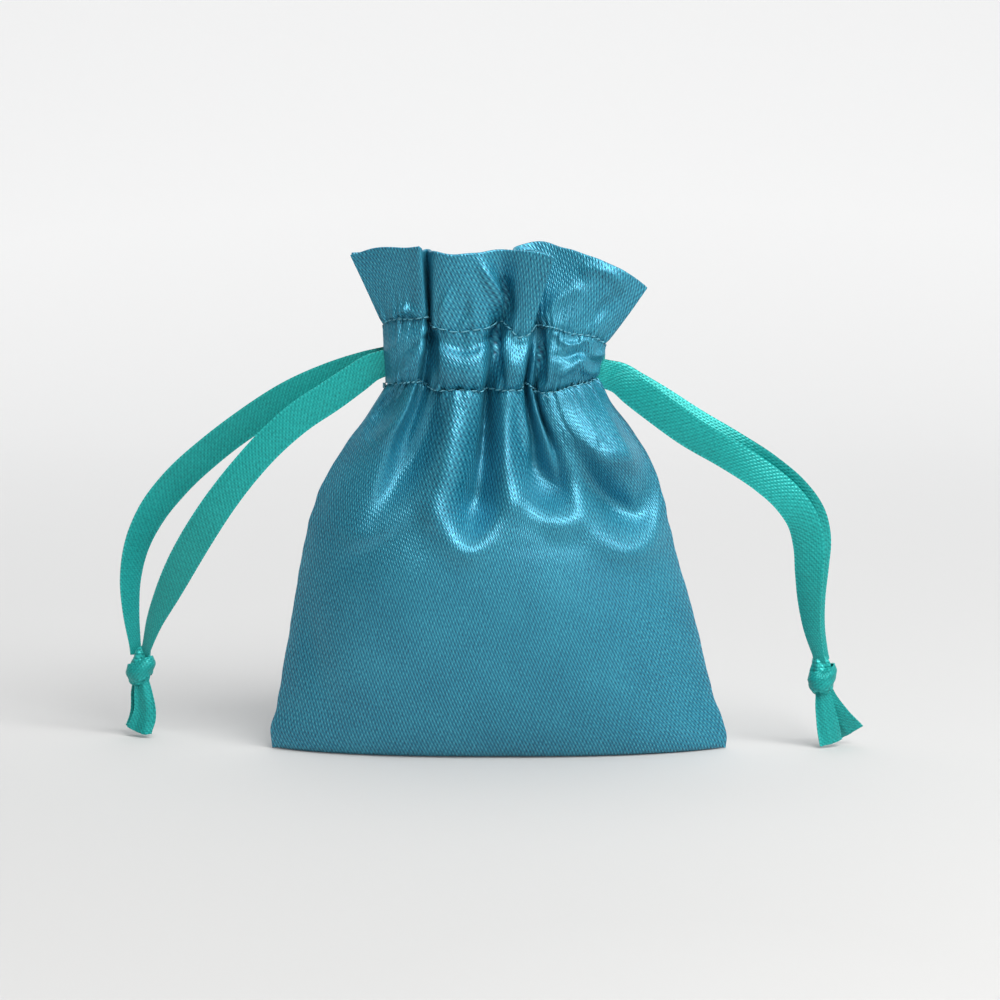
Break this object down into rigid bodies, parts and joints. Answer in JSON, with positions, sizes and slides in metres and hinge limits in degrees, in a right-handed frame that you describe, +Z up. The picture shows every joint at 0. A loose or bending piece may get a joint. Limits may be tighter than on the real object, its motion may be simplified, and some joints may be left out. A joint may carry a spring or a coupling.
{
  "type": "drawstring gift pouch",
  "caption": "Small satin gift pouch standing on its flattened bottom, its neck gathered by two ribbons in a sewn casing, with knotted ends at both sides.",
  "frame": {"origin": "on the floor, under the middle of the pouch", "axes": "+Z up through the gathered neck, -Y towards the front panel, +X to the right seen from the front"},
  "size_m": [0.1596, 0.034, 0.1061],
  "materials": {
    "satin": "teal-blue twill-faced satin with a soft sheen",
    "lining": "duller reverse side of the satin",
    "ribbon": "green-teal woven satin ribbon with selvedge edges",
    "thread": "sewing thread a shade lighter than the cloth"
  },
  "bodies": {
    "pouch": {"bottom_panel": "satin", "front_panel": "satin", "back_panel": "satin", "front_casing": "satin", "back_casing": "satin", "front_facing": "lining", "back_facing": "lining", "front_upper_stitches": "thread", "front_lower_stitches": "thread", "back_upper_stitches": "thread", "back_lower_stitches": "thread", "left_seam_allowance": "lining", "right_seam_allowance": "lining", "left_side_stitches": "thread", "right_side_stitches": "thread", "left_slit_tack": "thread", "right_slit_tack": "thread"},
    "front_lip": {"front_ruffle": "satin"},
    "back_lip": {"back_ruffle": "satin"},
    "left_ribbon": {"left_ribbon_loop": "ribbon", "left_front_lead": "ribbon", "left_back_lead": "ribbon"},
    "left_ends": {"left_front_strand": "ribbon", "left_back_strand": "ribbon", "left_knot": "ribbon", "left_front_tail": "ribbon", "left_back_tail": "ribbon"},
    "right_ribbon": {"right_ribbon_loop": "ribbon", "right_front_lead": "ribbon", "right_back_lead": "ribbon"},
    "right_ends": {"right_front_strand": "ribbon", "right_back_strand": "ribbon", "right_knot": "ribbon", "right_front_tail": "ribbon", "right_back_tail": "ribbon"}
  },
  "joints": [
    {"name": "mouth_front", "type": "hinge", "parent": "pouch", "child": "front_lip", "pos_m": [0, -0.0055, 0.0902], "axis": [1, 0, 0], "range_deg": [0, 15], "stiffness_Nm_per_rad": 0.002},
    {"name": "mouth_back", "type": "hinge", "parent": "pouch", "child": "back_lip", "pos_m": [0, 0.0055, 0.0902], "axis": [-1, 0, 0], "range_deg": [0, 15], "stiffness_Nm_per_rad": 0.002},
    {"name": "left_pull", "type": "slide", "parent": "pouch", "child": "left_ribbon", "axis": [-1, 0, 0], "range_m": [0, 0.012], "deforming": ["left_ribbon_loop"]},
    {"name": "right_pull", "type": "slide", "parent": "pouch", "child": "right_ribbon", "axis": [1, 0, 0], "range_m": [0, 0.012], "deforming": ["right_ribbon_loop"]},
    {"name": "left_swing", "type": "hinge", "parent": "left_ribbon", "child": "left_ends", "pos_m": [-0.0302, 0, 0.0842], "axis": [0, 1, 0], "range_deg": [0, 40]},
    {"name": "right_swing", "type": "hinge", "parent": "right_ribbon", "child": "right_ends", "pos_m": [0.0292, 0, 0.0812], "axis": [0, -1, 0], "range_deg": [0, 40]}
  ],
  "couplings": [
    {"joint": "mouth_back", "follows": "mouth_front", "ratio": 1}
  ]
}
